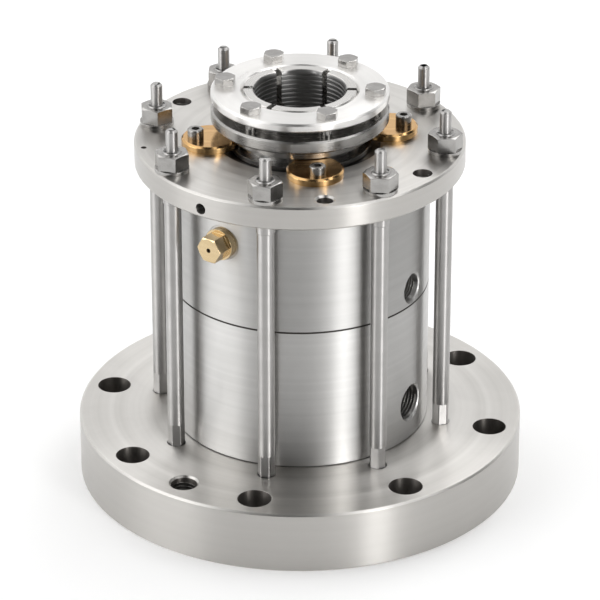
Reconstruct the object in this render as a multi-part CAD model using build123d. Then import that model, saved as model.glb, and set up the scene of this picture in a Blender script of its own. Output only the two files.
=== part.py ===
from build123d import *
import os
from math import cos, pi, sin

# Double-acting cartridge mechanical seal for a 48 mm agitator shaft, with its own ball bearing.
# Frame: origin at the centre of the mounting flange's underside, +Z up the shaft axis.
# Angles are in degrees about +Z, counted from the -Y side. Lengths are in millimetres.

# --- Fits and clearances ---------------------------------------------------------------------
fit = 0.05                  # radial clearance of located and running parts
press = 0.02                # radial clearance of pressed parts
free_gap = 0.5              # clearance of parts that pass without touching
edge_break = 1.0            # chamfer on large outer edges
small_break = 0.5           # chamfer on small edges
overcut = 1.0               # how far a cut runs past the surface it opens

# --- Mounting flange -------------------------------------------------------------------------
base_od = 240.0
base_thickness = 34.0
base_bore = 70.0
base_bolt_wall = 6.0        # from a bolt hole to the flange's rim
base_bolt_hole = 18.0
base_bolt_count = 8
jack_core = 14.0            # core of an M16 jacking thread
jack_angles = (-22.5, 157.5)
flange_cord = 5.0           # O-ring under the flange
flange_cord_circle = 126.0

# --- Housing ---------------------------------------------------------------------------------
housing_wall = 14.0         # outside the bearing
chamber_step = 5.0          # the chamber is narrower than the bearing's seat
lower_housing_height = 80.0
upper_housing_height = 68.0
spigot_wall = 7.0
base_spigot = 3.0           # how far the lower housing drops into the flange
joint_spigot = 4.0          # how far the upper housing drops into the lower one
joint_cord = 2.6            # O-rings between the stacked faces
port_angle = 72.5
lower_port_core = 19.0      # G1/2
lower_port_mouth = 21.5
lower_port_rise = 21.0      # above the mounting flange
upper_port_core = 15.25     # G3/8
upper_port_mouth = 17.5
upper_port_rise = 9.5       # above the joint of the two housings

# --- Cover plate -----------------------------------------------------------------------------
cover_rim = 9.5             # from a rod's axis to the plate's rim
cover_thickness = 13.0
cover_recess_od = 90.0
cover_recess_depth = 3.5
jack_hole = 10.2            # core of an M12 thread
cover_jack_angles = (67.5, -112.5)
lifting_hole = 8.5          # core of an M10 thread
lifting_mouth = 10.5
lifting_depth = 9.0
lifting_angles = (22.5, -157.5)
drain_hole = 6.0
drain_angle = -22.5
drain_rise = 4.8            # above the plate's underside
drain_end = 120.0           # diameter at which the drain stops
mark_hole = 3.0
mark_depth = 2.0
mark_angle = -67.5
mark_rim = 4.5              # from the mark to the plate's rim

# --- Tie rods --------------------------------------------------------------------------------
rod_stand = 9.0             # from the housing to a rod's axis
rod_count = 8
rod_thread = 10.0
rod_shank = 9.0
rod_flats = 8.0             # hexagon for the spanner
rod_flats_height = 12.0
rod_engagement = 18.0
rod_tip = 6.3
rod_tip_length = 12.0
rod_thread_over = 0.6       # thread above the nut
nut_flats = 16.0
nut_height = 8.4
nut_turn = 23.0             # each nut stands turned by this much more than the last
washer_od = 18.0
washer_thickness = 2.0

# --- Vent plug -------------------------------------------------------------------------------
plug_angle = -22.5
plug_rise = 46.5            # above the joint of the two housings
plug_thread = 10.0
plug_thread_length = 9.0
plug_flats = 13.0
plug_hex_length = 8.5
plug_collar = 17.0
plug_collar_length = 3.0
plug_vent = 2.0
plug_washer_thickness = 1.5
spot_face_depth = 0.8

# --- Shaft sleeve and its clamp --------------------------------------------------------------
sleeve_bore = 48.0
sleeve_wall = 6.0
sleeve_start = 4.0          # above the flange's underside
slot_width = 3.0
slot_depth = 20.0
slot_count = 6
slot_start = 40.5
slot_relief = 5.0
shaft_cord = 3.0
shaft_cord_rise = (10.0, 18.0)
hub_od = 76.0
hub_lip = 2.5               # rim below the cam groove
groove_floor = 65.0
groove_side_gap = 0.4
drive_ring_od = 94.0
drive_ring_rise = 11.0      # underside above the cover plate
drive_ring_thickness = 7.0
clamp_gap = 5.0
clamp_ring_thickness = 5.0
clamp_bore_chamfer = 1.5
clamp_screw_circle = 80.0
clamp_screw_start = 33.5
clamp_screw_count = 6
clamp_screw_thread = 6.0
clamp_screw_flats = 10.0
clamp_screw_head = 4.0
clamp_screw_engagement = 5.5

# --- Assembly cams ---------------------------------------------------------------------------
cam_od = 30.0
cam_thickness = 4.0
cam_throw = 7.5             # from the screw to the middle of the disc
cam_reach = 48.0            # from the shaft axis to the middle of the disc, engaged
cam_count = 4
cam_start = 22.5
cam_screw_thread = 5.0
cam_screw_head = 8.5
cam_screw_head_height = 5.0
cam_screw_socket = 4.0
cam_screw_socket_depth = 2.8
cam_screw_engagement = 9.0

# --- Ball bearing 60 x 110 x 22 --------------------------------------------------------------
bearing_od = 110.0
bearing_width = 22.0
bearing_floor = 39.0        # above the joint of the two housings
ball_diameter = 15.875
ball_count = 10
race_shoulder = 10.0        # opening between the two rings' shoulders
cage_thickness = 4.0
cage_over = 1.25            # cage above and below the balls
grease_groove_width = 8.0
grease_groove_depth = 2.0
circlip_thickness = 2.0
circlip_depth = 1.5
circlip_wall = 4.5          # how far a circlip stands out of the sleeve
circlip_opening = 30.0
shaft_seal_od = 85.0
shaft_seal_width = 8.0
shaft_seal_lip_gap = 0.1

# --- Seal faces, measured from the plane where face and seat meet ----------------------------
seat_standout = 4.0         # lower contact plane above the mounting flange
seat_floor = 34.0           # upper recess floor above the joint of the two housings
seat_bore_gap = 3.0
seat_recess_od = 92.0
seat_shoulder_gap = 0.3
seat_shoulder_height = 7.0
seat_pocket_height = 5.0
seat_cord = 4.0
seat_pin = 3.0
seat_pin_circle = 75.0
seat_pin_length = 5.5
seat_pin_in_seat = 2.6
face_nose_inner = 70.0
face_nose_outer = 82.0
face_nose_height = 3.0
face_od = 86.0
face_height = 16.0
face_cord = 3.5
face_lip = 2.0
carrier_od = 88.0
carrier_height = 12.0
carrier_travel = 2.0        # how far a seal head can be pushed back
collar_height = 24.0
spring_count = 8
spring_circle = 76.0
spring_od = 6.0
spring_wire = 1.0
spring_turns = 5.5
spring_pocket = 8.0
drive_pin = 4.0
drive_pin_count = 4
drive_pin_start = 22.5
drive_pin_in_collar = 8.0
drive_pin_in_carrier = 6.0
set_screw_thread = 6.0
set_screw_count = 3
set_screw_start = 10.0

# --- Levels and radii that follow ------------------------------------------------------------
base_bolt_circle = base_od - base_bolt_hole - 2 * base_bolt_wall
housing_od = bearing_od + 2 * housing_wall
chamber_bore = bearing_od - 2 * chamber_step
rod_circle = housing_od + 2 * rod_stand
cover_od = rod_circle + 2 * cover_rim
mark_circle = cover_od - 2 * mark_rim
spigot_od = chamber_bore + 2 * spigot_wall
joint_cord_circle = (spigot_od + housing_od) / 2
base_top = base_thickness
joint_level = base_top + lower_housing_height
cover_low = joint_level + upper_housing_height
cover_top = cover_low + cover_thickness
drive_ring_low = cover_top + drive_ring_rise
drive_ring_top = drive_ring_low + drive_ring_thickness
clamp_ring_low = drive_ring_top + clamp_gap
clamp_ring_top = clamp_ring_low + clamp_ring_thickness
bearing_low = joint_level + bearing_floor
bearing_top = bearing_low + bearing_width
bearing_middle = (bearing_low + bearing_top) / 2
recess_floor = cover_top - cover_recess_depth
hub_low = cover_top - groove_side_gap - hub_lip
lower_contact = base_top + seat_standout
seat_depth = seat_shoulder_height + seat_pocket_height
upper_contact = joint_level + seat_floor - seat_depth
collar_middle = (lower_contact + upper_contact) / 2
head_gap = (upper_contact - lower_contact) / 2 - collar_height / 2
head_length = face_height + carrier_height
sleeve_radius = sleeve_bore / 2 + sleeve_wall
rod_reach = rod_circle / 2
housing_radius = housing_od / 2
cam_screw_reach = cam_reach + cam_throw
plug_level = joint_level + plug_rise
plug_seat = housing_radius - spot_face_depth
circlip_od = 2 * (sleeve_radius + circlip_wall)
ball_circle = bearing_od / 2 + sleeve_radius
cage_height = ball_diameter + 2 * cage_over
seat_bore_radius = sleeve_radius + seat_bore_gap
seat_recess_radius = seat_recess_od / 2
spring_length = head_gap + spring_pocket - head_length
lower_head = Pos(0, 0, lower_contact)
upper_head = Pos(0, 0, upper_contact) * Rot(180, 0, 0)


# --- Building blocks -------------------------------------------------------------------------
def turned(corners):
    """Solid of revolution about Z through (radius, height) corners."""
    outline = Polyline(*[(radius, 0, height) for radius, height in corners], close=True)
    return revolve(make_face(outline), Axis.Z)


def ring(inner, outer, low, high):
    """Plain ring between two radii and two levels."""
    return turned([(inner, low), (outer, low), (outer, high), (inner, high)])


def rod(radius, low, high, reach=0.0, angle=0.0):
    """Upright cylinder that stands a reach away from the shaft axis."""
    return Rot(0, 0, angle) * Pos(0, -reach, (low + high) / 2) * Cylinder(radius, high - low)


def spoke(radius, inner, outer, level, angle):
    """Cylinder that points away from the shaft axis, between two reaches."""
    place = Rot(0, 0, angle) * Pos(0, -(inner + outer) / 2, level) * Rot(90, 0, 0)
    return place * Cylinder(radius, outer - inner)


def spoke_cone(inner_radius, outer_radius, inner, outer, level, angle):
    """Cone that points away from the shaft axis, wider at its outer end."""
    place = Rot(0, 0, angle) * Pos(0, -(inner + outer) / 2, level) * Rot(90, 0, 0)
    return place * Cone(inner_radius, outer_radius, outer - inner)


def hexagon(flats, low, high):
    """Hexagonal prism on the Z axis."""
    outline = RegularPolygon(radius=flats / 2, side_count=6, major_radius=False)
    return Pos(0, 0, low) * extrude(outline, amount=high - low)


def o_ring(cord, inner, level):
    """O-ring that lies just outside an inner radius."""
    return Pos(0, 0, level) * Torus(inner + cord / 2, cord / 2)


def steps(count, start=0.0):
    """Evenly spaced angles."""
    return [start + 360.0 * index / count for index in range(count)]


def save(name, *solids):
    """Write one node as a STEP file."""
    shape = solids[0] if len(solids) == 1 else Compound(children=list(solids))
    export_step(shape, f"parts/{name}.step")


# --- Mounting flange and housing -------------------------------------------------------------
def base_flange():
    outer = base_od / 2
    bore = base_bore / 2
    seat_low = lower_contact - seat_depth
    step = base_top - base_spigot
    body = turned([
        (bore, 0), (outer - edge_break, 0), (outer, edge_break), (outer, base_top - edge_break),
        (outer - edge_break, base_top), (spigot_od / 2 + fit, base_top),
        (spigot_od / 2 + fit, step), (seat_recess_radius, step),
        (seat_recess_radius, seat_low), (bore, seat_low),
    ])
    cuts = [rod(base_bolt_hole / 2, 0, base_top, base_bolt_circle / 2, angle)
            for angle in steps(base_bolt_count)]
    for angle in jack_angles:
        cuts.append(rod(jack_core / 2, 0, base_top, base_bolt_circle / 2, angle))
        mouth = Cone(jack_core / 2, jack_core / 2 + edge_break, edge_break)
        level = base_top - edge_break / 2
        cuts.append(Rot(0, 0, angle) * Pos(0, -base_bolt_circle / 2, level) * mouth)
    hole_low = base_top - rod_engagement - 2 * edge_break
    cuts += [rod(rod_thread / 2 + fit, hole_low, base_top, rod_reach, angle)
             for angle in steps(rod_count)]
    inner = (flange_cord_circle - flange_cord) / 2 - fit
    outer = (flange_cord_circle + flange_cord) / 2 + fit
    cuts.append(ring(inner, outer, 0, flange_cord + 2 * fit))
    cuts.append(rod(seat_pin / 2 + fit, seat_low - seat_pin_length + seat_pin_in_seat,
                    seat_low, seat_pin_circle / 2))
    return body - cuts


def face_groove(top):
    """Groove for an O-ring in the upper face of a housing part."""
    inner = (joint_cord_circle - joint_cord) / 2 - fit
    outer = (joint_cord_circle + joint_cord) / 2 + fit
    return ring(inner, outer, top - joint_cord - fit, top)


def port(core, mouth, level):
    """Port hole into the chamber, with a countersink where it opens on the housing."""
    sink = housing_radius - (mouth - core) / 2
    return [
        spoke(core / 2, chamber_bore / 2 - overcut, housing_radius, level, port_angle),
        spoke_cone(core / 2, mouth / 2, sink, housing_radius, level, port_angle),
    ]


def lower_housing():
    bore = chamber_bore / 2
    spigot = spigot_od / 2
    pocket = joint_level - joint_spigot
    body = turned([
        (bore, base_top - base_spigot), (spigot, base_top - base_spigot), (spigot, base_top),
        (housing_radius - small_break, base_top), (housing_radius, base_top + small_break),
        (housing_radius, joint_level - small_break), (housing_radius - small_break, joint_level),
        (spigot + fit, joint_level), (spigot + fit, pocket), (bore, pocket),
    ])
    groove = face_groove(joint_level)
    base_groove = face_groove(base_top + joint_cord + fit)
    level = base_top + lower_port_rise
    return body - [groove, base_groove] - port(lower_port_core, lower_port_mouth, level)


def upper_housing():
    bore = chamber_bore / 2
    spigot = spigot_od / 2
    seat_top = joint_level + seat_floor
    web = (circlip_od / 2) + 2 * edge_break
    bearing = bearing_od / 2 + press
    groove_low = plug_level - grease_groove_width / 2
    body = turned([
        (bore, joint_level - joint_spigot), (spigot, joint_level - joint_spigot),
        (spigot, joint_level), (housing_radius - small_break, joint_level),
        (housing_radius, joint_level + small_break), (housing_radius, cover_low - small_break),
        (housing_radius - small_break, cover_low), (bearing, cover_low),
        (bearing, groove_low + grease_groove_width),
        (bearing + grease_groove_depth, groove_low + grease_groove_width),
        (bearing + grease_groove_depth, groove_low), (bearing, groove_low),
        (bearing, bearing_low), (web, bearing_low), (web, seat_top),
        (seat_recess_radius, seat_top), (seat_recess_radius, upper_contact), (bore, upper_contact),
    ])
    cuts = port(upper_port_core, upper_port_mouth, joint_level + upper_port_rise)
    cuts.append(face_groove(cover_low))
    cuts.append(spoke(plug_thread / 2 + fit, bearing, housing_radius, plug_level, plug_angle))
    cuts.append(spoke(plug_collar / 2 + edge_break, plug_seat, housing_radius + overcut,
                      plug_level, plug_angle))
    cuts.append(rod(seat_pin / 2 + fit, seat_top, seat_top + seat_pin_length - seat_pin_in_seat,
                    seat_pin_circle / 2, 180))
    return body - cuts


def cover_plate():
    outer = cover_od / 2
    spigot = bearing_od / 2 - fit
    shoulder = circlip_od / 2 + 2 * edge_break
    seal = shaft_seal_od / 2 + press
    seal_low = recess_floor - shaft_seal_width
    recess = cover_recess_od / 2
    bore = (bearing_od + ball_circle) / 4
    body = turned([
        (spigot, bearing_top), (spigot, cover_low), (outer - edge_break, cover_low),
        (outer, cover_low + edge_break), (outer, cover_top - edge_break),
        (outer - edge_break, cover_top), (recess, cover_top), (recess, recess_floor),
        (seal, recess_floor), (seal, seal_low), (shoulder, seal_low),
        (shoulder, seal_low - edge_break), (bore, seal_low - edge_break), (bore, bearing_top),
    ])
    cuts = [rod(rod_thread / 2 + free_gap, cover_low, cover_top, rod_reach, angle)
            for angle in steps(rod_count)]
    cuts += [rod(jack_hole / 2, cover_low, cover_top, rod_reach, angle)
             for angle in cover_jack_angles]
    for angle in lifting_angles:
        cuts.append(rod(lifting_hole / 2, cover_top - lifting_depth, cover_top, rod_reach, angle))
        mouth = Cone(lifting_hole / 2, lifting_mouth / 2, edge_break)
        level = cover_top - edge_break / 2
        cuts.append(Rot(0, 0, angle) * Pos(0, -rod_reach, level) * mouth)
    cuts.append(spoke(drain_hole / 2, drain_end / 2, outer, cover_low + drain_rise, drain_angle))
    cuts.append(rod(mark_hole / 2, cover_top - mark_depth, cover_top, mark_circle / 2, mark_angle))
    screw_low = cover_top - cam_screw_engagement - small_break
    cuts += [rod(cam_screw_thread / 2 + fit, screw_low, cover_top, cam_screw_reach, angle)
             for angle in steps(cam_count, cam_start)]
    return body - cuts


# --- Fasteners of the stack ------------------------------------------------------------------
def tie_rod():
    thread = rod_thread / 2
    shank = rod_shank / 2
    nut_top = cover_top + washer_thickness + nut_height
    thread_top = nut_top + rod_thread_over
    tip_top = thread_top + rod_tip_length
    foot = base_top - rod_engagement
    flats_top = base_top + rod_flats_height
    thread_low = cover_low - rod_flats_height / 2
    tip = rod_tip / 2
    low_part = ring(0, thread, foot, base_top)
    flats = hexagon(rod_flats, base_top, flats_top) & ring(0, shank, base_top, flats_top)
    top_part = turned([
        (0, flats_top), (shank, flats_top), (shank, thread_low), (thread, thread_low + small_break),
        (thread, thread_top - small_break), (thread - small_break, thread_top),
        (tip, thread_top), (tip, tip_top - edge_break), (tip - edge_break, tip_top), (0, tip_top),
    ])
    return low_part + flats + top_part


def hex_head(flats, low, high, bore=0.0):
    """Hexagon with both rims turned off at a shallow angle, as a nut or a bolt head has."""
    corner = flats / (2 * cos(pi / 6))
    rim = flats / 2 * 0.96
    drop = (corner - rim) * 0.5
    limit = turned([
        (bore, low), (corner + small_break, low), (corner + small_break, high - drop),
        (rim, high), (bore, high),
    ])
    return hexagon(flats, low, high) & limit


def tie_rod_nuts():
    low = cover_top + washer_thickness
    nut = hex_head(nut_flats, low, low + nut_height, rod_thread / 2 + fit)
    return [Rot(0, 0, angle) * Pos(0, -rod_reach, 0) * Rot(0, 0, index * nut_turn) * nut
            for index, angle in enumerate(steps(rod_count))]


def vent_plug():
    washer_top = plug_seat + plug_washer_thickness
    collar_top = washer_top + plug_collar_length
    face = collar_top + plug_hex_length
    thread = spoke(plug_thread / 2, washer_top - plug_thread_length, washer_top,
                   plug_level, plug_angle)
    collar = spoke(plug_collar / 2, washer_top, collar_top, plug_level, plug_angle)
    lying = Rot(0, 0, plug_angle) * Pos(0, 0, plug_level) * Rot(90, 0, 0)
    head = lying * hex_head(plug_flats, collar_top, face)
    vent = spoke(plug_vent / 2, face - plug_hex_length / 3, face, plug_level, plug_angle)
    return thread + collar + head - vent


def vent_plug_washer():
    outer = spoke(plug_collar / 2, plug_seat, plug_seat + plug_washer_thickness,
                  plug_level, plug_angle)
    hole = spoke(plug_thread / 2 + fit, plug_seat, plug_seat + plug_washer_thickness,
                 plug_level, plug_angle)
    return outer - hole


# --- Shaft sleeve and clamp ------------------------------------------------------------------
def shaft_sleeve():
    bore = sleeve_bore / 2
    body = turned([
        (bore + small_break, sleeve_start), (sleeve_radius - small_break, sleeve_start),
        (sleeve_radius, sleeve_start + small_break), (sleeve_radius, clamp_ring_top - small_break),
        (sleeve_radius - small_break, clamp_ring_top), (bore + edge_break, clamp_ring_top),
        (bore, clamp_ring_top - edge_break), (bore, sleeve_start + small_break),
    ])
    slot_low = clamp_ring_top - slot_depth
    cuts = []
    for angle in steps(slot_count, slot_start):
        middle = Pos(0, -(bore + sleeve_radius) / 2, clamp_ring_top - slot_depth / 2)
        slot = Box(slot_width, sleeve_wall * 2, slot_depth)
        cuts.append(Rot(0, 0, angle) * middle * slot)
        cuts.append(spoke(slot_relief / 2, bore / 2, sleeve_radius + overcut, slot_low, angle))
    for low in (bearing_low - circlip_thickness, bearing_top):
        cuts.append(ring(sleeve_radius - circlip_depth, sleeve_radius + overcut, low,
                         low + circlip_thickness))
    for rise in shaft_cord_rise:
        low = sleeve_start + rise - shaft_cord / 2 - fit
        cuts.append(ring(bore - overcut, bore + shaft_cord + 2 * fit, low, low + shaft_cord + 2 * fit))
    return body - cuts


def drive_ring():
    inner = sleeve_radius + fit
    hub = hub_od / 2
    outer = drive_ring_od / 2
    floor = groove_floor / 2
    groove_top = cover_top + cam_thickness + groove_side_gap
    groove_low = cover_top - groove_side_gap
    body = turned([
        (inner, hub_low), (hub, hub_low), (hub, groove_low), (floor, groove_low),
        (floor, groove_top), (hub, groove_top), (hub, drive_ring_low),
        (outer - edge_break, drive_ring_low), (outer, drive_ring_low + edge_break),
        (outer, drive_ring_top - edge_break), (outer - edge_break, drive_ring_top),
        (inner, drive_ring_top),
    ])
    low = drive_ring_top - clamp_screw_engagement - small_break
    cuts = [rod(clamp_screw_thread / 2 + fit, low, drive_ring_top, clamp_screw_circle / 2, angle)
            for angle in steps(clamp_screw_count, clamp_screw_start)]
    return body - cuts


def clamp_ring():
    inner = sleeve_radius + fit
    outer = drive_ring_od / 2
    body = turned([
        (inner, clamp_ring_low), (outer - edge_break, clamp_ring_low),
        (outer, clamp_ring_low + edge_break), (outer, clamp_ring_top - edge_break),
        (outer - edge_break, clamp_ring_top), (inner + clamp_bore_chamfer, clamp_ring_top),
        (inner, clamp_ring_top - clamp_bore_chamfer),
    ])
    cuts = [rod(clamp_screw_thread / 2 + free_gap, clamp_ring_low, clamp_ring_top,
                clamp_screw_circle / 2, angle)
            for angle in steps(clamp_screw_count, clamp_screw_start)]
    return body - cuts


def clamp_screws():
    low = drive_ring_top - clamp_screw_engagement
    shank = ring(0, clamp_screw_thread / 2, low, clamp_ring_top)
    screw = shank + hex_head(clamp_screw_flats, clamp_ring_top, clamp_ring_top + clamp_screw_head)
    return [Rot(0, 0, angle) * Pos(0, -clamp_screw_circle / 2, 0) * screw
            for angle in steps(clamp_screw_count, clamp_screw_start)]


# --- Assembly cams ---------------------------------------------------------------------------
def cam(angle):
    top = cover_top + cam_thickness
    disc = turned([
        (0, cover_top), (cam_od / 2, cover_top), (cam_od / 2, top - edge_break),
        (cam_od / 2 - edge_break, top), (0, top),
    ])
    hole = rod(cam_screw_thread / 2 + fit, cover_top, top, cam_screw_reach, 0)
    return Rot(0, 0, angle) * (Pos(0, -cam_reach, 0) * disc - hole)


def cam_screws():
    seat = cover_top + cam_thickness
    top = seat + cam_screw_head_height
    head = turned([
        (0, seat), (cam_screw_head / 2, seat), (cam_screw_head / 2, top - small_break),
        (cam_screw_head / 2 - small_break, top), (0, top),
    ])
    shank = ring(0, cam_screw_thread / 2, cover_top - cam_screw_engagement, seat)
    screw = head + shank - hexagon(cam_screw_socket, top - cam_screw_socket_depth, top)
    return [Rot(0, 0, angle) * Pos(0, -cam_screw_reach, 0) * screw
            for angle in steps(cam_count, cam_start)]


# --- Bearing ---------------------------------------------------------------------------------
def race():
    """Path that the balls sweep, with their running clearance."""
    return Pos(0, 0, bearing_middle) * Torus(ball_circle / 2, ball_diameter / 2 + fit)


def bearing_outer_ring():
    inner = (ball_circle + race_shoulder) / 2
    return ring(inner, bearing_od / 2, bearing_low, bearing_top) - race()


def bearing_inner_ring():
    outer = (ball_circle - race_shoulder) / 2
    return ring(sleeve_radius + press, outer, bearing_low, bearing_top) - race()


def bearing_balls():
    return [Rot(0, 0, angle) * Pos(0, -ball_circle / 2, bearing_middle) * Sphere(ball_diameter / 2)
            for angle in steps(ball_count)]


def bearing_cage():
    inner = (ball_circle - cage_thickness) / 2
    low = bearing_middle - cage_height / 2
    body = ring(inner, inner + cage_thickness, low, low + cage_height)
    pocket = Sphere(ball_diameter / 2 + 2 * fit)
    pockets = [Rot(0, 0, angle) * Pos(0, -ball_circle / 2, bearing_middle) * pocket
               for angle in steps(ball_count)]
    return body - pockets


def circlips():
    clips = []
    for low in (bearing_low - circlip_thickness, bearing_top):
        clip = ring(sleeve_radius - circlip_depth + fit, circlip_od / 2, low,
                    low + circlip_thickness)
        opening = circlip_od * sin(pi * circlip_opening / 360)
        gap = Pos(0, circlip_od / 2, low + circlip_thickness / 2)
        clips.append(clip - gap * Box(opening, circlip_od, circlip_thickness))
    return clips


def shaft_seal():
    low = recess_floor - shaft_seal_width
    lip = sleeve_radius + shaft_seal_lip_gap
    wall = shaft_seal_od / 2 - edge_break * 2
    foot = sleeve_radius + edge_break * 3
    return turned([
        (lip, recess_floor - shaft_seal_width / 2), (foot, low + edge_break * 2),
        (foot + edge_break, low + edge_break * 2), (foot + edge_break, recess_floor - edge_break * 2),
        (wall, recess_floor - edge_break * 2), (wall, low), (shaft_seal_od / 2, low),
        (shaft_seal_od / 2, recess_floor), (foot, recess_floor),
        (lip, recess_floor - shaft_seal_width / 2 + edge_break),
    ])


# --- Seal heads: built with the contact plane at zero and the head above it ------------------
def seat():
    shoulder = seat_recess_radius - seat_shoulder_gap
    stem = seat_recess_radius - seat_cord - 2 * fit
    low = -seat_depth
    body = turned([
        (seat_bore_radius, low), (stem, low), (stem, -seat_shoulder_height),
        (shoulder, -seat_shoulder_height), (shoulder, -small_break), (shoulder - small_break, 0),
        (seat_bore_radius, 0),
    ])
    pin_hole = rod(seat_pin / 2 + fit, low, low + seat_pin_in_seat, seat_pin_circle / 2)
    return body - pin_hole


def seat_ring():
    level = -seat_shoulder_height - seat_pocket_height / 2
    return o_ring(seat_cord, seat_recess_radius - seat_cord - fit, level)


def seat_pin_piece():
    low = -seat_depth - seat_pin_length + seat_pin_in_seat
    return rod(seat_pin / 2, low, -seat_depth + seat_pin_in_seat, seat_pin_circle / 2)


def seal_face():
    inner = sleeve_radius + free_gap
    pocket = sleeve_radius + face_cord + 2 * fit
    pocket_low = face_height - face_lip - face_cord - 2 * fit
    return turned([
        (face_nose_inner / 2, 0), (face_nose_outer / 2, 0), (face_nose_outer / 2, face_nose_height),
        (face_od / 2, face_nose_height), (face_od / 2, face_height), (pocket, face_height),
        (pocket, pocket_low), (inner, pocket_low), (inner, face_nose_height),
        (face_nose_inner / 2, face_nose_height),
    ])


def face_ring():
    level = face_height - face_lip - face_cord / 2 - fit
    return o_ring(face_cord, sleeve_radius + fit, level)


def face_carrier():
    inner = sleeve_radius + free_gap
    lip = sleeve_radius + face_cord
    top = face_height + carrier_height
    body = turned([
        (inner, face_height - face_lip), (lip, face_height - face_lip), (lip, face_height),
        (carrier_od / 2, face_height), (carrier_od / 2, top - small_break),
        (carrier_od / 2 - small_break, top), (inner, top),
    ])
    low = top - drive_pin_in_carrier - carrier_travel - small_break
    cuts = [rod(drive_pin / 2 + 2 * fit, low, top, spring_circle / 2, angle)
            for angle in steps(drive_pin_count, drive_pin_start)]
    return body - cuts


def head_springs():
    climb = spring_length - spring_wire
    path = Helix(pitch=climb / spring_turns, height=climb, radius=(spring_od - spring_wire) / 2)
    wire = Plane(origin=path @ 0, z_dir=path % 0) * Circle(spring_wire / 2)
    coil = Pos(0, 0, head_length + spring_wire / 2) * sweep(wire, path=path, is_frenet=True)
    ends = ring(0, spring_od, head_length, head_length + spring_length)
    coil = coil & ends
    return [Rot(0, 0, angle) * Pos(0, -spring_circle / 2, 0) * coil
            for angle in steps(spring_count)]


def head_pins():
    low = head_length - drive_pin_in_carrier
    top = head_gap + drive_pin_in_collar
    return [rod(drive_pin / 2, low, top, spring_circle / 2, angle)
            for angle in steps(drive_pin_count, drive_pin_start)]


def collar_pockets():
    """Spring and pin holes in the collar, as one seal head faces them."""
    springs = [rod(spring_od / 2 + 4 * fit, head_gap, head_gap + spring_pocket,
                   spring_circle / 2, angle)
               for angle in steps(spring_count)]
    pins = [rod(drive_pin / 2 + press, head_gap, head_gap + drive_pin_in_collar,
                spring_circle / 2, angle)
            for angle in steps(drive_pin_count, drive_pin_start)]
    return springs + pins


def spring_collar():
    low = collar_middle - collar_height / 2
    body = ring(sleeve_radius + fit, carrier_od / 2, low, low + collar_height)
    cuts = [place * pocket for place in (lower_head, upper_head) for pocket in collar_pockets()]
    cuts += [spoke(set_screw_thread / 2 + fit, sleeve_radius - overcut, carrier_od / 2 + overcut,
                   collar_middle, angle)
             for angle in steps(set_screw_count, set_screw_start)]
    return body - cuts


def set_screws():
    return [spoke(set_screw_thread / 2, sleeve_radius + 2 * fit, carrier_od / 2 - small_break,
                  collar_middle, angle)
            for angle in steps(set_screw_count, set_screw_start)]


# --- Write the nodes -------------------------------------------------------------------------
os.makedirs("parts", exist_ok=True)

save("base_flange", base_flange())
save("lower_housing", lower_housing())
save("upper_housing", upper_housing())
save("cover_plate", cover_plate())

rods = [Rot(0, 0, angle) * Pos(0, -rod_reach, 0) * tie_rod() for angle in steps(rod_count)]
washers = [Rot(0, 0, angle) * Pos(0, -rod_reach, 0)
           * ring(rod_thread / 2 + free_gap / 2, washer_od / 2, cover_top,
                  cover_top + washer_thickness)
           for angle in steps(rod_count)]
save("tie_rods", *rods)
save("tie_rod_washers", *washers)
save("tie_rod_nuts", *tie_rod_nuts())

save("vent_plug", vent_plug())
save("vent_plug_washer", vent_plug_washer())

save("shaft_sleeve", shaft_sleeve())
save("drive_ring", drive_ring())
save("clamp_ring", clamp_ring())
save("clamp_screws", *clamp_screws())
shaft_rings = [o_ring(shaft_cord, sleeve_bore / 2 + fit, sleeve_start + rise)
               for rise in shaft_cord_rise]
save("shaft_o_rings", *shaft_rings)

for index, angle in enumerate(steps(cam_count, cam_start)):
    save(f"assembly_cam_{index + 1}", cam(angle))
save("cam_screws", *cam_screws())

save("bearing_outer_ring", bearing_outer_ring())
save("bearing_inner_ring", bearing_inner_ring())
save("bearing_balls", *bearing_balls())
save("bearing_cage", bearing_cage())
save("bearing_circlips", *circlips())
save("shaft_lip_seal", shaft_seal())

for side, place in (("lower", lower_head), ("upper", upper_head)):
    save(f"{side}_seat", place * seat())
    save(f"{side}_seal_face", place * seal_face())
    save(f"{side}_face_carrier", place * face_carrier())
    save(f"{side}_face_o_ring", place * face_ring())
    save(f"{side}_springs", *[place * spring for spring in head_springs()])
save("seat_o_rings", lower_head * seat_ring(), upper_head * seat_ring())
save("seat_pins", lower_head * seat_pin_piece(), upper_head * seat_pin_piece())
save("drive_pins", *[place * pin for place in (lower_head, upper_head) for pin in head_pins()])
save("spring_collar", spring_collar())
save("collar_set_screws", *set_screws())

joint_inner = (joint_cord_circle - joint_cord) / 2
joint_rings = [o_ring(joint_cord, joint_inner, top - joint_cord / 2 - fit / 2)
               for top in (base_top + joint_cord + fit, joint_level, cover_low)]
save("housing_o_rings", *joint_rings)
save("flange_o_ring", o_ring(flange_cord, (flange_cord_circle - flange_cord) / 2,
                             flange_cord / 2 + fit))
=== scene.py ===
import bpy
from math import cos, pi, radians, sin
from mathutils import Matrix, Vector


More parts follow.
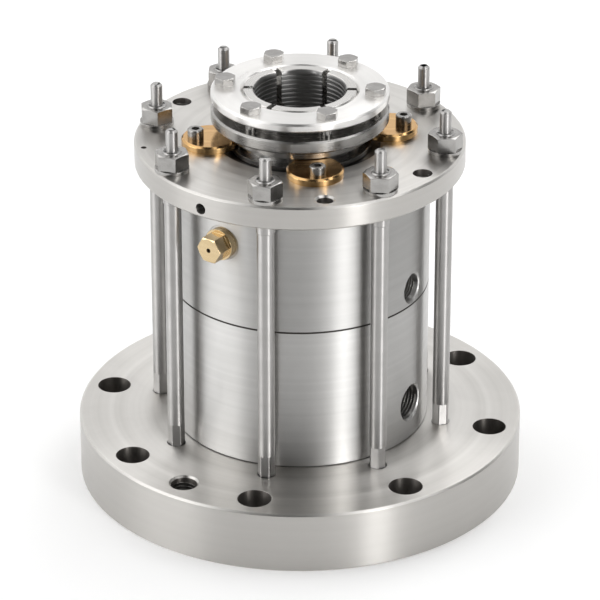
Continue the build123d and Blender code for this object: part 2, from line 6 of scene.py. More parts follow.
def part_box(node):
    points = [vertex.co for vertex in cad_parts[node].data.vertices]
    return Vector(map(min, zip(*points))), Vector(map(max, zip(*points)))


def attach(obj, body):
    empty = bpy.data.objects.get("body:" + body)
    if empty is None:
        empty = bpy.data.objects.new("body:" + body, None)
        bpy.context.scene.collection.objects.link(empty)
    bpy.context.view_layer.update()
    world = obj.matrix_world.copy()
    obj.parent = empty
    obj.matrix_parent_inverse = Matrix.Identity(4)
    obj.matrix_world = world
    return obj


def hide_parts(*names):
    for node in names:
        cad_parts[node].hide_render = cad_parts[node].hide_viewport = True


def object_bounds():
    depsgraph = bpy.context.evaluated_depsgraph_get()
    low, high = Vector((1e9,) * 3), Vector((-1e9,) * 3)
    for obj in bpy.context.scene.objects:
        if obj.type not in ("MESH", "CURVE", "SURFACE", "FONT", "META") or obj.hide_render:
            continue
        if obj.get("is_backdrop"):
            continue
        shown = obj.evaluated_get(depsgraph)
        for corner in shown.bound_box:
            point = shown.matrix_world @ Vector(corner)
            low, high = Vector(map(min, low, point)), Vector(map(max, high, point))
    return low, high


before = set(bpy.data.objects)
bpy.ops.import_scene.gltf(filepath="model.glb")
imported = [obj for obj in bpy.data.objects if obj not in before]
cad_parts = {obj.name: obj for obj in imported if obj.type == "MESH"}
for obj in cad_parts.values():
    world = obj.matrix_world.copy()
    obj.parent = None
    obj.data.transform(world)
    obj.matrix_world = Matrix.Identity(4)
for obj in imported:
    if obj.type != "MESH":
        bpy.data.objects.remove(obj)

cad_low, cad_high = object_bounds()
bpy.ops.object.select_all(action='DESELECT')

# --- Studio ----------------------------------------------------------------------------------
# The seal stands on a white paper sweep inside a light tent, with six softboxes around it. The
# tent glows behind the seal, at its left and at its front right, and is dark round the camera
# and straight to the right. A long lens looks down from the front.
scene = bpy.context.scene
scene.view_settings.view_transform = 'Standard'

aim_below_middle = 0.015
aim = (Vector(cad_low) + Vector(cad_high)) / 2 - Vector((0, 0, aim_below_middle))
camera_turn = radians(13.1)
camera_rise = radians(26.9)
camera_distance = 2.1


def place_round_seal(name, data, turn, rise, distance):
    """Set up a camera or lamp that points at the seal, at a turn from its front and a rise."""
    outward = Vector((sin(turn) * cos(rise), -cos(turn) * cos(rise), sin(rise)))
    thing = bpy.data.objects.new(name, data)
    scene.collection.objects.link(thing)
    thing.location = aim + outward * distance
    thing.rotation_euler = (-outward).to_track_quat('-Z', 'Y').to_euler()
    return thing


lens = bpy.data.cameras.new("studio_camera")
lens.lens = 234
lens.sensor_width = 36
scene.camera = place_round_seal("studio_camera", lens, camera_turn, camera_rise, camera_distance)

# the softboxes' turns are counted in degrees from the camera to its right
softbox_distance = 2.4
for name, turn, rise, width, height, power in (
        ("left_softbox", -100, 50, 1.4, 1.4, 1.5),
        ("right_softbox", 100, 62, 1.2, 1.2, 13.5),
        ("back_left_softbox", -148, 46, 1.0, 1.0, 4.0),
        ("back_right_softbox", 146, 46, 1.0, 1.0, 7.5),
        ("front_left_softbox", -68, 9, 1.7, 0.8, 14),
        ("front_right_softbox", 37, 9, 0.5, 0.9, 17)):
    light = bpy.data.lights.new(name, 'AREA')
    light.shape = 'RECTANGLE'
    light.size = width
    light.size_y = height
    light.energy = power
    place_round_seal(name, light, camera_turn + radians(turn), radians(rise), softbox_distance)


def add_node(tree, kind, **settings):
    """Add a node with its options set."""
    node = tree.nodes.new(kind)
    for name, value in settings.items():
        setattr(node, name, value)
    return node


def feed(tree, value, socket):
    """Link another node's output to a socket, or set a plain value on it."""
    if isinstance(value, bpy.types.NodeSocket):
        tree.links.new(value, socket)
    else:
        socket.default_value = value


def calculate(tree, operation, *values):
    """Result of a Math node on outputs of other nodes or plain numbers."""
    step = add_node(tree, "ShaderNodeMath", operation=operation)
    for value, socket in zip(values, step.inputs):
        feed(tree, value, socket)
    return step.outputs["Value"]


def rescale(tree, source, first, last, low=0.0, high=1.0, curve='LINEAR'):
    """Lay the stretch of source from first to last over the one from low to high."""
    stretch = add_node(tree, "ShaderNodeMapRange", interpolation_type=curve)
    tree.links.new(source, stretch.inputs["Value"])
    for label, value in (("From Min", first), ("From Max", last), ("To Min", low),
                         ("To Max", high)):
        stretch.inputs[label].default_value = value
    return stretch.outputs["Result"]


def blend(tree, kind, share, below, above):
    """Mix two colours ('RGBA') or numbers ('FLOAT'); share is how much of above shows."""
    first, second, result = (6, 7, 2) if kind == 'RGBA' else (2, 3, 0)
    mix = add_node(tree, "ShaderNodeMix", data_type=kind)
    feed(tree, share, mix.inputs["Factor"])
    feed(tree, below, mix.inputs[first])
    feed(tree, above, mix.inputs[second])
    return mix.outputs[result]


sweep_size = 16.0
bpy.ops.mesh.primitive_plane_add(size=sweep_size, location=(0, 0, cad_low[2]))
sweep = bpy.context.object
sweep.name = "white_sweep"
sweep_paper = bpy.data.materials.new("white_sweep_paper")
sweep_paper.use_nodes = True
tree = sweep_paper.node_tree
tree.nodes.clear()
out = add_node(tree, "ShaderNodeOutputMaterial")
# camera, mirror and glass rays all see the paper lifted to white, with the seal's shadow on it
path = add_node(tree, "ShaderNodeLightPath")
mirrored = calculate(tree, 'MAXIMUM', path.outputs["Is Camera Ray"], path.outputs["Is Glossy Ray"])
watched = calculate(tree, 'MAXIMUM', mirrored, path.outputs["Is Transmission Ray"])
paper = add_node(tree, "ShaderNodeBsdfDiffuse")
paper.inputs["Color"].default_value = (0.9, 0.9, 0.9, 1)
lift = add_node(tree, "ShaderNodeEmission")
lift.inputs["Strength"].default_value = 0.14
lifted = add_node(tree, "ShaderNodeAddShader")
tree.links.new(paper.outputs[0], lifted.inputs[0])
tree.links.new(lift.outputs[0], lifted.inputs[1])
seen = add_node(tree, "ShaderNodeMixShader")
tree.links.new(watched, seen.inputs[0])
tree.links.new(paper.outputs[0], seen.inputs[1])
tree.links.new(lifted.outputs[0], seen.inputs[2])
tree.links.new(seen.outputs[0], out.inputs["Surface"])
sweep.data.materials.append(sweep_paper)
sweep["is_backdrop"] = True

tent = bpy.data.worlds.new("light_tent")
scene.world = tent
tent.use_nodes = True
tree = tent.node_tree
tree.nodes.clear()
out = add_node(tree, "ShaderNodeOutputWorld")
direction = add_node(tree, "ShaderNodeTexCoord").outputs["Generated"]
facing = add_node(tree, "ShaderNodeMapping", vector_type='VECTOR')
facing.inputs["Rotation"].default_value = (0, 0, pi / 2 - camera_turn)
tree.links.new(direction, facing.inputs["Vector"])
axes = add_node(tree, "ShaderNodeSeparateXYZ")
tree.links.new(facing.outputs[0], axes.inputs[0])
turn_about_seal = calculate(tree, 'ARCTAN2', axes.outputs["Y"], axes.outputs["X"])
# how bright the walls are, at turns in degrees from the camera to its right
wall_levels = ((-180, 0.6), (-150, 0.6), (-128, 0.62), (-62, 0.86), (-36, 0.02), (12, 0.02),
               (26, 0.7), (50, 0.76), (60, 0.01), (112, 0.01), (130, 0.56), (180, 0.6))
walls = add_node(tree, "ShaderNodeValToRGB")
walls.color_ramp.interpolation = 'EASE'
while len(walls.color_ramp.elements) < len(wall_levels):
    walls.color_ramp.elements.new(0.5)
for element, (turn, level) in zip(walls.color_ramp.elements, wall_levels):
    element.position = (turn + 180) / 360
    element.color = (level, level, level, 1)
tree.links.new(rescale(tree, turn_about_seal, -pi, pi), walls.inputs["Fac"])
# at and below the horizon the tent is even and as white as the lifted paper, so that the
# paper's far edge doesn't show
horizon_grey = (0.61, 0.61, 0.61, 1)
axes = add_node(tree, "ShaderNodeSeparateXYZ")
tree.links.new(direction, axes.inputs[0])
above_horizon = rescale(tree, axes.outputs["Z"], 0.03, 0.09, curve='SMOOTHSTEP')
glow = add_node(tree, "ShaderNodeBackground")
glow.inputs["Strength"].default_value = 1.64
tree.links.new(blend(tree, 'RGBA', above_horizon, horizon_grey, walls.outputs["Color"]),
               glow.inputs["Color"])
tree.links.new(glow.outputs[0], out.inputs["Surface"])

# --- Mounting flange -------------------------------------------------------------------------
# A round plate of stainless steel, faced and turned on a lathe, so its top and rim carry fine
# concentric marks. Its holes were drilled afterwards, and two of them are tapped for jacking.


def shader_group(name, inputs, outputs):
    """Empty node group with named float or vector inputs and float outputs."""
    group = bpy.data.node_groups.new(name, 'ShaderNodeTree')
    for label, kind, value in inputs:
        socket = group.interface.new_socket(label, in_out='INPUT', socket_type=kind)
        if value is not None:
            socket.default_value = value
    for label in outputs:
        group.interface.new_socket(label, in_out='OUTPUT', socket_type='NodeSocketFloat')
    return group, group.nodes.new("NodeGroupInput"), group.nodes.new("NodeGroupOutput")


def distance_from_axis(tree, vector, across=(1, 1, 0)):
    """Distance of each place from an axis; across is one in the directions square to it."""
    flat = add_node(tree, "ShaderNodeVectorMath", operation='MULTIPLY')
    flat.inputs[1].default_value = across
    tree.links.new(vector, flat.inputs[0])
    length = add_node(tree, "ShaderNodeVectorMath", operation='LENGTH')
    tree.links.new(flat.outputs[0], length.inputs[0])
    return length.outputs["Value"]


def turning_marks_group():
    """Marks that a lathe tool leaves: they run round the Z axis and vary along the cut."""
    group, given, result = shader_group("turning_marks", (
        ("Vector", 'NodeSocketVector', None), ("Marks per metre", 'NodeSocketFloat', 1500.0)),
        ("Fine", "Broad"))
    axes = add_node(group, "ShaderNodeSeparateXYZ")
    group.links.new(given.outputs["Vector"], axes.inputs[0])
    cut = add_node(group, "ShaderNodeCombineXYZ")
    group.links.new(distance_from_axis(group, given.outputs["Vector"]), cut.inputs["X"])
    group.links.new(axes.outputs["Z"], cut.inputs["Y"])
    broad_share = 0.12
    marks = given.outputs["Marks per metre"]
    for label, scale, detail in (
            ("Fine", marks, 2.0),
            ("Broad", calculate(group, 'MULTIPLY', marks, broad_share), 3.0)):
        noise = add_node(group, "ShaderNodeTexNoise")
        noise.inputs["Detail"].default_value = detail
        group.links.new(cut.outputs[0], noise.inputs["Vector"])
        group.links.new(scale, noise.inputs["Scale"])
        group.links.new(noise.outputs["Fac"], result.inputs[label])
    return group


def handling_group():
    """Faint cloudy patches that cleaning and handling leave on bare metal."""
    group, given, result = shader_group("handling", (
        ("Vector", 'NodeSocketVector', None), ("Patches per metre", 'NodeSocketFloat', 30.0)),
        ("Patches",))
    cloud = add_node(group, "ShaderNodeTexNoise")
    cloud.inputs["Detail"].default_value = 4.0
    cloud.inputs["Roughness"].default_value = 0.6
    cloud.inputs["Distortion"].default_value = 0.6
    group.links.new(given.outputs["Vector"], cloud.inputs["Vector"])
    group.links.new(given.outputs["Patches per metre"], cloud.inputs["Scale"])
    group.links.new(cloud.outputs["Fac"], result.inputs["Patches"])
    return group


turning_marks = turning_marks_group()
handling = handling_group()


# the stretch that most of a noise's values keep to
noise_low, noise_high = 0.3, 0.7


def dark_to_light(tree, tone, dark, light):
    """Colour that runs from dark to light with a noise's tone."""
    colour = add_node(tree, "ShaderNodeValToRGB")
    for element, position, end in zip(colour.color_ramp.elements, (noise_low, noise_high),
                                      (dark, light)):
        element.position = position
        element.color = (*end, 1)
    tree.links.new(tone, colour.inputs["Fac"])
    return colour.outputs["Color"]


def turned_metal(name, dark, light, smooth, rough, marks, depth, spread=0.0, patches=25.0,
                 centre=None):
    """Lathe-turned bare metal. dark and light are the ends of its colour, smooth and rough of
    its roughness, marks the tool marks per metre, depth their height and spread how much the
    marks widen a reflection across them. patches are the marks of handling per metre."""
    finish = bpy.data.materials.new(name)
    finish.use_nodes = True
    tree = finish.node_tree
    metal = tree.nodes["Principled BSDF"]
    metal.inputs["Metallic"].default_value = 1.0
    metal.inputs["Anisotropic"].default_value = spread
    place = add_node(tree, "ShaderNodeTexCoord").outputs["Object"]
    lathe = add_node(tree, "ShaderNodeGroup", node_tree=turning_marks)
    lathe.inputs["Marks per metre"].default_value = marks
    if centre is None:
        tree.links.new(place, lathe.inputs["Vector"])
    else:
        shift = add_node(tree, "ShaderNodeMapping", vector_type='TEXTURE')
        shift.inputs["Location"].default_value = centre
        tree.links.new(place, shift.inputs["Vector"])
        tree.links.new(shift.outputs[0], lathe.inputs["Vector"])
    hands = add_node(tree, "ShaderNodeGroup", node_tree=handling)
    hands.inputs["Patches per metre"].default_value = patches
    tree.links.new(place, hands.inputs["Vector"])
    patch_share = 0.4
    tone = blend(tree, 'FLOAT', patch_share, lathe.outputs["Broad"], hands.outputs["Patches"])
    tree.links.new(dark_to_light(tree, tone, dark, light), metal.inputs["Base Color"])
    tree.links.new(rescale(tree, tone, noise_low, noise_high, smooth, rough),
                   metal.inputs["Roughness"])
    grooves = add_node(tree, "ShaderNodeBump")
    grooves.inputs["Strength"].default_value = 1.0
    grooves.inputs["Distance"].default_value = depth
    tree.links.new(lathe.outputs["Fine"], grooves.inputs["Height"])
    rounding = add_node(tree, "ShaderNodeBevel", samples=4)
    rounding.inputs["Radius"].default_value = 0.00035
    tree.links.new(rounding.outputs["Normal"], grooves.inputs["Normal"])
    tree.links.new(grooves.outputs["Normal"], metal.inputs["Normal"])
    if spread:
        quarter_turn = 0.25
        metal.inputs["Anisotropic Rotation"].default_value = quarter_turn
        around = add_node(tree, "ShaderNodeTangent", direction_type='RADIAL', axis='Z')
        tree.links.new(around.outputs["Tangent"], metal.inputs["Tangent"])
    return finish


def cover_finish(finish, mask, colour, roughness, metallic):
    """Lay another colour, roughness and metalness over a finish where mask is one."""
    tree = finish.node_tree
    for label, kind, value in (("Base Color", 'RGBA', (*colour, 1)),
                               ("Roughness", 'FLOAT', roughness),
                               ("Metallic", 'FLOAT', metallic)):
        socket = tree.nodes["Principled BSDF"].inputs[label]
        below = socket.links[0].from_socket if socket.is_linked else socket.default_value
        tree.links.new(blend(tree, kind, mask, below, value), socket)


def band(tree, source, start, full):
    """One where source is past full and nothing before start."""
    if start < full:
        return rescale(tree, source, start, full, curve='SMOOTHSTEP')
    return rescale(tree, source, full, start, 1.0, 0.0, curve='SMOOTHSTEP')


def upright_wall_group():
    """One on the upright walls that lie between two distances from the Z axis."""
    group, given, result = shader_group("upright_wall", (
        ("Vector", 'NodeSocketVector', None), ("Nearest", 'NodeSocketFloat', 0.09),
        ("Farthest", 'NodeSocketFloat', 0.118)), ("Mask",))
    reach = distance_from_axis(group, given.outputs["Vector"])
    outside = calculate(group, 'GREATER_THAN', reach, given.outputs["Nearest"])
    inside = calculate(group, 'LESS_THAN', reach, given.outputs["Farthest"])
    face = add_node(group, "ShaderNodeNewGeometry")
    lean = add_node(group, "ShaderNodeSeparateXYZ")
    group.links.new(face.outputs["True Normal"], lean.inputs[0])
    upright = band(group, calculate(group, 'ABSOLUTE', lean.outputs["Z"]), start=0.6, full=0.3)
    between = calculate(group, 'MULTIPLY', outside, inside)
    group.links.new(calculate(group, 'MULTIPLY', between, upright), result.inputs["Mask"])
    return group


upright_wall = upright_wall_group()


def shade_upright_walls(finish, near, far, colour, roughness, metallic, cover=1.0):
    """Lay a darker colour, roughness and metalness over the upright walls between two distances
    from the Z axis, as painted shade. cover is how much of the finish below it hides."""
    tree = finish.node_tree
    place = add_node(tree, "ShaderNodeTexCoord")
    wall = add_node(tree, "ShaderNodeGroup", node_tree=upright_wall)
    wall.inputs["Nearest"].default_value = near
    wall.inputs["Farthest"].default_value = far
    tree.links.new(place.outputs["Object"], wall.inputs["Vector"])
    share = calculate(tree, 'MULTIPLY', wall.outputs["Mask"], cover)
    cover_finish(finish, share, colour, roughness, metallic)


def finish_nodes(finish, *nodes):
    """Give CAD nodes their finish."""
    for node in nodes:
        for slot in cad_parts[node].material_slots:
            slot.material = finish


flange_steel = turned_metal("flange_turned_steel", dark=(0.559, 0.543, 0.517),
                            light=(0.715, 0.697, 0.67), smooth=0.30, rough=0.38, marks=1600,
                            depth=0.00001, spread=0.88)
# the walls of the holes and the rim are painted darker than the faces: painted shade in the holes
# and on the flange's side
shade_upright_walls(flange_steel, near=0.090, far=0.118, colour=(0.2, 0.185, 0.17), roughness=0.42,
              metallic=0.85)
shade_upright_walls(flange_steel, near=0.1185, far=0.121, colour=(0.45, 0.437, 0.416), roughness=0.34,
              metallic=1.0, cover=0.7)
finish_nodes(flange_steel, "base_flange")


def helical_thread(name, turn, reach, radius, low, high, pitch, depth):
    """Thread that lines an upright tapped hole. turn is in degrees from the front and reach the
    hole's distance from the Z axis; low and high are the levels of the thread's ends."""
    blank = pitch * 0.55
    narrowing = 0.8
    bpy.ops.mesh.primitive_circle_add(vertices=3, radius=blank, fill_type='NGON')
    thread = bpy.context.object
    thread.name = name
    bpy.ops.object.mode_set(mode='EDIT')
    bpy.ops.mesh.select_all(action='SELECT')
    # the crest points at the hole's axis and the root lies on its wall
    bpy.ops.transform.rotate(value=pi / 2, orient_axis='X', center_override=(0, 0, 0))
    bpy.ops.transform.rotate(value=pi / 2, orient_axis='Y', center_override=(0, 0, 0))
    bpy.ops.transform.resize(value=(depth / (pitch * narrowing), 1, narrowing),
                             center_override=(0, 0, 0))
    bpy.ops.transform.translate(value=(radius - depth * 0.25, 0, low + pitch * 0.5))
    bpy.ops.object.mode_set(mode='OBJECT')
    steps = 40
    screw = thread.modifiers.new("thread", 'SCREW')
    screw.axis = 'Z'
    screw.screw_offset = pitch
    screw.iterations = max(1, int((high - low) / pitch) - 1)
    screw.steps = steps
    screw.render_steps = steps
    bpy.ops.object.modifier_apply(modifier="thread")
    bpy.ops.object.mode_set(mode='EDIT')
    bpy.ops.mesh.select_all(action='SELECT')
    bpy.ops.mesh.remove_doubles(threshold=1e-7)
    bpy.ops.mesh.fill_holes(sides=4)
    bpy.ops.mesh.normals_make_consistent(inside=False)
    bpy.ops.object.mode_set(mode='OBJECT')
    thread.data.transform(Matrix.Rotation(radians(turn), 4, 'Z')
                          @ Matrix.Translation((0, -reach, 0)))
    bpy.ops.object.select_all(action='DESELECT')
    return thread


# the threads are coloured darker than the steel they are cut in, as painted shade inside the
# tapped holes
thread_steel = turned_metal("tapped_thread_steel", dark=(0.286, 0.273, 0.26),
                            light=(0.468, 0.455, 0.436), smooth=0.25, rough=0.4, marks=900,
                            depth=0.000004)


def fit_thread(thread):
    """Make a thread a finished piece of the housing."""
    thread.data.materials.append(thread_steel)
    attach(thread, "housing")


# the jacking holes share the bolts' circle, and a thread stops short of both faces
bolt_circle_radius = 0.105
short_of_underside = 0.002
short_of_top = 0.001
flange_low, flange_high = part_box("base_flange")
for side, turn in (("front", -22.5), ("back", 157.5)):
    thread = helical_thread("flange_jack_thread_" + side, turn, bolt_circle_radius, radius=0.007,
                            low=flange_low[2] + short_of_underside,
                            high=flange_high[2] - short_of_top, pitch=0.002, depth=0.0008)
    fit_thread(thread)

# --- Housing ---------------------------------------------------------------------------------
# Two stacked barrels of stainless steel, turned all over. The lower one has the finer finish.
# Two ports with pipe threads lead in from the right.


def joint_line_group():
    """One on the line where a piece meets the next at a level, and nothing away from it."""
    group, given, result = shader_group("joint_line", (
        ("Vector", 'NodeSocketVector', None), ("Level", 'NodeSocketFloat', 0.0),
        ("Reach", 'NodeSocketFloat', 0.0006)), ("Mask",))
    axes = add_node(group, "ShaderNodeSeparateXYZ")
    group.links.new(given.outputs["Vector"], axes.inputs[0])
    height = calculate(group, 'SUBTRACT', axes.outputs["Z"], given.outputs["Level"])
    share = calculate(group, 'DIVIDE', calculate(group, 'ABSOLUTE', height),
                      given.outputs["Reach"])
    group.links.new(band(group, share, start=1.0, full=0.7), result.inputs["Mask"])
    return group


joint_line = joint_line_group()


def dark_joint(finish, level, reach):
    """Shadow and grime along the joint at a level of the finish's piece."""
    tree = finish.node_tree
    place = add_node(tree, "ShaderNodeTexCoord")
    line = add_node(tree, "ShaderNodeGroup", node_tree=joint_line)
    line.inputs["Level"].default_value = level
    line.inputs["Reach"].default_value = reach
    tree.links.new(place.outputs["Object"], line.inputs["Vector"])
    cover_finish(finish, line.outputs["Mask"], colour=(0.05, 0.045, 0.04), roughness=0.6,
                 metallic=0.3)


barrel_dark, barrel_light = (0.49, 0.485, 0.473), (0.59, 0.584, 0.572)
upper_steel = turned_metal("upper_housing_satin_steel", barrel_dark, barrel_light, smooth=0.46,
                           rough=0.54, marks=2400, depth=0.000006, spread=0.9)
lower_steel = turned_metal("lower_housing_fine_steel", barrel_dark, barrel_light, smooth=0.38,
                           rough=0.46, marks=2400, depth=0.000004, spread=0.9)
barrel_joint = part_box("lower_housing")[1][2]
dark_joint(upper_steel, barrel_joint, reach=0.0006)
dark_joint(lower_steel, barrel_joint, reach=0.0006)
dark_joint(lower_steel, flange_high[2], reach=0.0007)
finish_nodes(upper_steel, "upper_housing")
finish_nodes(lower_steel, "lower_housing")

# the ports' threads are made upright and then laid pointing out of the housing
port_turn = 72.5
thread_start, thread_end = 0.0505, 0.0672
for name, radius, level, pitch, depth in (
        ("lower_port_thread", 0.0095, 0.055, 0.0018, 0.0008),
        ("upper_port_thread", 0.007625, 0.1235, 0.0014, 0.0007)):
    thread = helical_thread(name, turn=0, reach=0, radius=radius, low=thread_start,
                            high=thread_end, pitch=pitch, depth=depth)
    thread.data.transform(Matrix.Rotation(radians(port_turn), 4, 'Z')
                          @ Matrix.Translation((0, 0, level)) @ Matrix.Rotation(pi / 2, 4, 'X'))
    fit_thread(thread)

# --- Cover plate -----------------------------------------------------------------------------
# A turned stainless plate that closes the housing. It has two tapped holes for jacking it off,
# two for lifting eyes and a small drain hole in its rim.
cover_steel = turned_metal("cover_turned_steel", dark=(0.528, 0.512, 0.488),
                           light=(0.686, 0.669, 0.643), smooth=0.27, rough=0.35, marks=2000,
                           depth=0.000008, spread=0.85)
# the walls of the holes and the rim are painted darker than the top: painted shade in the holes
# and on the plate's side
shade_upright_walls(cover_steel, near=0.070, far=0.0855, colour=(0.2, 0.185, 0.17), roughness=0.42,
              metallic=0.85)
shade_upright_walls(cover_steel, near=0.0862, far=0.089, colour=(0.43, 0.417, 0.397), roughness=0.31,
              metallic=1.0, cover=0.7)
finish_nodes(cover_steel, "cover_plate")

# the tapped holes stand between the rods, on the rods' circle
rod_circle_radius = 0.078
cover_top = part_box("cover_plate")[1][2]
for name, turn, radius, low, pitch, depth in (
        ("cover_jack_thread_right", 67.5, 0.0051, 0.1825, 0.00175, 0.0007),
        ("cover_jack_thread_left", -112.5, 0.0051, 0.1825, 0.00175, 0.0007),
        ("lifting_thread_front", 22.5, 0.00425, 0.1865, 0.0015, 0.0006),
        ("lifting_thread_back", -157.5, 0.00425, 0.1865, 0.0015, 0.0006)):
    thread = helical_thread(name, turn, rod_circle_radius, radius, low, cover_top - short_of_top,
                            pitch, depth)
    fit_thread(thread)

# --- Tie rods --------------------------------------------------------------------------------
# Eight ground bars of stainless steel stand on the flange and clamp the cover plate down. Each
# was ground round its own middle, so it spreads reflections along its length.
rod_steel = turned_metal("tie_rod_ground_steel", dark=(0.40, 0.391, 0.381),
                         light=(0.51, 0.5, 0.489), smooth=0.34, rough=0.42, marks=900,
                         depth=0.000003, spread=0.9)
tree = rod_steel.node_tree
face = add_node(tree, "ShaderNodeNewGeometry")
round_rod = add_node(tree, "ShaderNodeVectorMath", operation='CROSS_PRODUCT')
round_rod.inputs[0].default_value = (0, 0, 1)
tree.links.new(face.outputs["Normal"], round_rod.inputs[1])
tree.links.new(round_rod.outputs[0], tree.nodes["Principled BSDF"].inputs["Tangent"])
finish_nodes(rod_steel, "tie_rods")

# --- Nuts and screws -------------------------------------------------------------------------
# Cold-formed stainless hardware, bought in: plain and smooth, with faint patches from handling.
# Its colour is darker than the turned steel's, as painted shade for the dark reflections on these
# small pieces.
nut_steel = turned_metal("nut_plain_steel", dark=(0.27, 0.262, 0.252), light=(0.46, 0.45, 0.436),
                         smooth=0.16, rough=0.28, marks=900, depth=0.000004, patches=220.0)
finish_nodes(nut_steel, "tie_rod_nuts", "tie_rod_washers", "clamp_screws", "cam_screws",
             "collar_set_screws")

# --- Pins ------------------------------------------------------------------------------------
# Hardened and ground steel pins inside the housing. They keep the seats from turning and drive
# the seal heads.
pin_steel = turned_metal("ground_pin_steel", dark=(0.42, 0.42, 0.425), light=(0.52, 0.52, 0.525),
                         smooth=0.12, rough=0.2, marks=1200, depth=0.000002, patches=90.0)
finish_nodes(pin_steel, "seat_pins", "drive_pins")

# --- Shaft sleeve ----------------------------------------------------------------------------
# A turned tube of stainless steel, slit at its end so that the clamp ring can squeeze it onto
# the shaft. Grip grooves are cut inside it, here into a copy of the plain tube.
sleeve_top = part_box("shaft_sleeve")[1][2]
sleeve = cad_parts["shaft_sleeve"].copy()
sleeve.data = sleeve.data.copy()
sleeve.name = "grooved_sleeve"
scene.collection.objects.link(sleeve)
bpy.context.view_layer.objects.active = sleeve
sleeve.select_set(True)
bpy.ops.object.mode_set(mode='EDIT')
bpy.ops.mesh.select_all(action='SELECT')
bpy.ops.mesh.remove_doubles(threshold=1e-6)
bpy.ops.object.mode_set(mode='OBJECT')
bpy.ops.object.select_all(action='DESELECT')

groove_count = 18
groove_pitch = 0.0025
first_groove_depth = 0.003
bpy.ops.mesh.primitive_torus_add(major_radius=0.0241, minor_radius=0.00045, major_segments=120,
                                 minor_segments=6,
                                 location=(0, 0, sleeve_top - first_groove_depth))
cutter = bpy.context.object
bpy.ops.object.transform_apply(location=True, rotation=True, scale=True)
stack = cutter.modifiers.new("stack", 'ARRAY')
stack.count = groove_count
stack.use_relative_offset = False
stack.use_constant_offset = True
stack.constant_offset_displace = (0, 0, -groove_pitch)
bpy.ops.object.modifier_apply(modifier="stack")
bpy.ops.object.select_all(action='DESELECT')
bpy.context.view_layer.objects.active = sleeve
sleeve.select_set(True)
grooves = sleeve.modifiers.new("grooves", 'BOOLEAN')
grooves.operation = 'DIFFERENCE'
grooves.solver = 'EXACT'
grooves.object = cutter
bpy.ops.object.modifier_apply(modifier="grooves")
bpy.data.objects.remove(cutter)

sleeve_steel = turned_metal("sleeve_bored_steel", dark=(0.572, 0.559, 0.539),
                            light=(0.702, 0.689, 0.67), smooth=0.22, rough=0.32, marks=1800,
                            depth=0.000006, spread=0.7)
# the bore is rougher than the outside, and its darker colour is painted shade inside the sleeve
tree = sleeve_steel.node_tree
place = add_node(tree, "ShaderNodeTexCoord")
reach = distance_from_axis(tree, place.outputs["Object"])
cover_finish(sleeve_steel, band(tree, reach, start=0.0248, full=0.0244),
             colour=(0.34, 0.335, 0.33), roughness=0.38, metallic=1.0)
sleeve.data.materials.clear()
sleeve.data.materials.append(sleeve_steel)
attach(sleeve, "rotor")
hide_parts("shaft_sleeve")
bpy.ops.object.select_all(action='DESELECT')

# --- Drive ring ------------------------------------------------------------------------------
# A turned steel ring round the sleeve, above the cover plate. The cams hold it by its groove.
drive_steel = turned_metal("drive_ring_turned_steel", dark=(0.33, 0.321, 0.308),
                           light=(0.44, 0.43, 0.416), smooth=0.22, rough=0.32, marks=1800,
                           depth=0.000006, spread=0.7)
finish_nodes(drive_steel, "drive_ring")

# --- Clamp ring ------------------------------------------------------------------------------
# A pale ring of steel with a faced top. Its screws squeeze the sleeve's slit end onto the shaft.
ring_steel = turned_metal("clamp_ring_faced_steel", dark=(0.76, 0.747, 0.728),
                          light=(0.88, 0.868, 0.85), smooth=0.26, rough=0.36, marks=1800,
                          depth=0.000006, spread=0.8)
finish_nodes(ring_steel, "clamp_ring")

# --- Seal heads ------------------------------------------------------------------------------
# Turned steel carriers hold the running faces, and a collar fixed to the sleeve between them
# carries the small coil springs, wound from drawn wire, that press both heads outwards.
head_steel = turned_metal("seal_head_turned_steel", dark=(0.47, 0.46, 0.45),
                          light=(0.58, 0.57, 0.56), smooth=0.3, rough=0.42, marks=1400,
                          depth=0.000008, spread=0.6)
finish_nodes(head_steel, "spring_collar", "lower_face_carrier", "upper_face_carrier")
spring_steel = turned_metal("drawn_spring_steel", dark=(0.4, 0.4, 0.405),
                            light=(0.52, 0.52, 0.525), smooth=0.2, rough=0.3, marks=2600,
                            depth=0.000002, patches=300.0)
finish_nodes(spring_steel, "lower_springs", "upper_springs")

# --- O-rings ---------------------------------------------------------------------------------
# Rings of black moulded rubber, which sit in grooves between the pieces.


def pressed_grain_group():
    """Fine even grain of a moulded or pressed material."""
    group, given, result = shader_group("pressed_grain", (
        ("Vector", 'NodeSocketVector', None), ("Grains per metre", 'NodeSocketFloat', 900.0)),
        ("Grain",))
    grains = add_node(group, "ShaderNodeTexNoise")
    grains.inputs["Detail"].default_value = 4.0
    group.links.new(given.outputs["Vector"], grains.inputs["Vector"])
    group.links.new(given.outputs["Grains per metre"], grains.inputs["Scale"])
    group.links.new(grains.outputs["Fac"], result.inputs["Grain"])
    return group


pressed_grain = pressed_grain_group()


def moulded(name, dark, light, smooth, rough, grain, depth):
    """Matt moulded or pressed material, such as rubber, carbon or nylon. grain is counted per
    metre and depth is the height of the grain."""
    finish = bpy.data.materials.new(name)
    finish.use_nodes = True
    tree = finish.node_tree
    body = tree.nodes["Principled BSDF"]
    place = add_node(tree, "ShaderNodeTexCoord")
    grains = add_node(tree, "ShaderNodeGroup", node_tree=pressed_grain)
    grains.inputs["Grains per metre"].default_value = grain
    tree.links.new(place.outputs["Object"], grains.inputs["Vector"])
    tone = grains.outputs["Grain"]
    tree.links.new(dark_to_light(tree, tone, dark, light), body.inputs["Base Color"])
    tree.links.new(rescale(tree, tone, 0.0, 1.0, smooth, rough), body.inputs["Roughness"])
    pores = add_node(tree, "ShaderNodeBump")
    pores.inputs["Distance"].default_value = depth
    tree.links.new(tone, pores.inputs["Height"])
    tree.links.new(pores.outputs["Normal"], body.inputs["Normal"])
    return finish


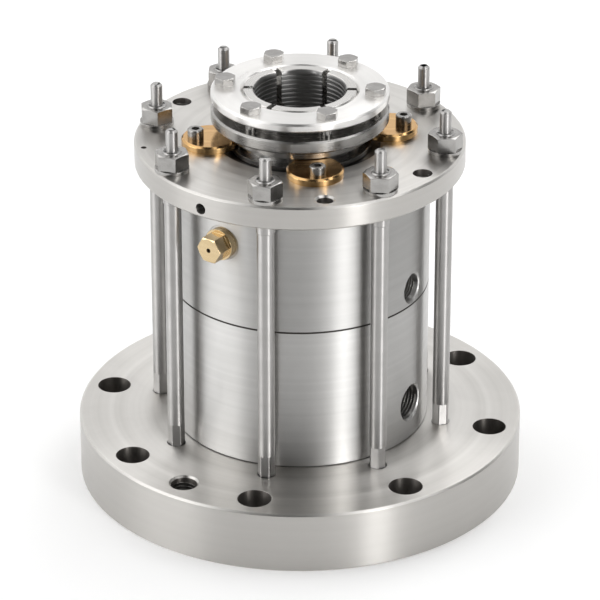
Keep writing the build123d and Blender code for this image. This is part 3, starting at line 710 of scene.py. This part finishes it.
seal_rubber = moulded("seal_rubber", dark=(0.012, 0.012, 0.013), light=(0.03, 0.03, 0.032),
                      smooth=0.45, rough=0.65, grain=900, depth=0.00004)
finish_nodes(seal_rubber, "shaft_o_rings", "seat_o_rings", "housing_o_rings", "flange_o_ring",
             "lower_face_o_ring", "upper_face_o_ring")

# --- Seats and seal faces --------------------------------------------------------------------
# The seats, which stand still, are of lapped silicon carbide. The faces that run on them are
# rings of pressed carbon.
carbide = moulded("lapped_carbide", dark=(0.07, 0.072, 0.078), light=(0.11, 0.112, 0.118),
                  smooth=0.18, rough=0.3, grain=2500, depth=0.000004)
finish_nodes(carbide, "lower_seat", "upper_seat")
carbon = moulded("seal_carbon", dark=(0.02, 0.02, 0.021), light=(0.04, 0.04, 0.041), smooth=0.35,
                 rough=0.5, grain=1800, depth=0.00001)
finish_nodes(carbon, "lower_seal_face", "upper_seal_face")

# --- Bearing ---------------------------------------------------------------------------------
# A ball bearing inside the housing, held by two circlips. Its rings and balls are of hardened
# and ground steel, and its cage is moulded in one piece of pale nylon.
bearing_steel = turned_metal("bearing_ground_steel", dark=(0.5, 0.505, 0.515),
                             light=(0.6, 0.605, 0.615), smooth=0.08, rough=0.16, marks=3000,
                             depth=0.000001, spread=0.3, patches=60.0)
finish_nodes(bearing_steel, "bearing_outer_ring", "bearing_inner_ring", "bearing_balls",
             "bearing_circlips")
cage_nylon = moulded("cage_polymer", dark=(0.55, 0.50, 0.38), light=(0.66, 0.61, 0.49), smooth=0.4,
                     rough=0.55, grain=700, depth=0.00003)
finish_nodes(cage_nylon, "bearing_cage")

# --- Lip seal --------------------------------------------------------------------------------
# A dark pressed steel case with its lip inside, let into the cover plate round the sleeve.
seal_case = turned_metal("lip_seal_case", dark=(0.16, 0.155, 0.15), light=(0.24, 0.235, 0.23),
                         smooth=0.3, rough=0.42, marks=1200, depth=0.000005, spread=0.4)
finish_nodes(seal_case, "shaft_lip_seal")

# --- Cams ------------------------------------------------------------------------------------
# Four brass discs on socket screws hold the drive ring at its height until the seal is fitted.
# Each is turned about its own middle, so its tool marks run round that and not the seal's axis.
for cam in ("assembly_cam_1", "assembly_cam_2", "assembly_cam_3", "assembly_cam_4"):
    low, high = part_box(cam)
    middle = ((low[0] + high[0]) / 2, (low[1] + high[1]) / 2, 0)
    cam_brass = turned_metal(cam.replace("assembly_cam", "cam_brass"), dark=(0.546, 0.318, 0.135),
                             light=(0.8, 0.52, 0.235), smooth=0.12, rough=0.2, marks=1500,
                             depth=0.000002, centre=middle)
    finish_nodes(cam_brass, cam)

# --- Vent plug -------------------------------------------------------------------------------
# A hexagon plug of pale brass on a brass washer, screwed into the upper housing. A small vent
# # is drilled through its middle, and the shade in it is painted on as a dark spot.
plug_turn = radians(-22.5)
plug_level = 0.1605
plug_brass = turned_metal("plug_brass", dark=(0.55, 0.41, 0.23), light=(0.72, 0.57, 0.35),
                          smooth=0.14, rough=0.26, marks=1500, depth=0.000004)
tree = plug_brass.node_tree
place = add_node(tree, "ShaderNodeTexCoord")
plug_axis = add_node(tree, "ShaderNodeMapping", vector_type='TEXTURE')
plug_axis.inputs["Location"].default_value = (0, 0, plug_level)
plug_axis.inputs["Rotation"].default_value = (0, 0, plug_turn)
tree.links.new(place.outputs["Object"], plug_axis.inputs["Vector"])
reach = distance_from_axis(tree, plug_axis.outputs[0], across=(1, 0, 1))
# painted shade: a dark spot on the plug's axis, over the vent's mouth
cover_finish(plug_brass, band(tree, reach, start=0.0014, full=0.0011),
             colour=(0.05, 0.03, 0.015), roughness=0.6, metallic=0.5)
finish_nodes(plug_brass, "vent_plug", "vent_plug_washer")

low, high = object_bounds()
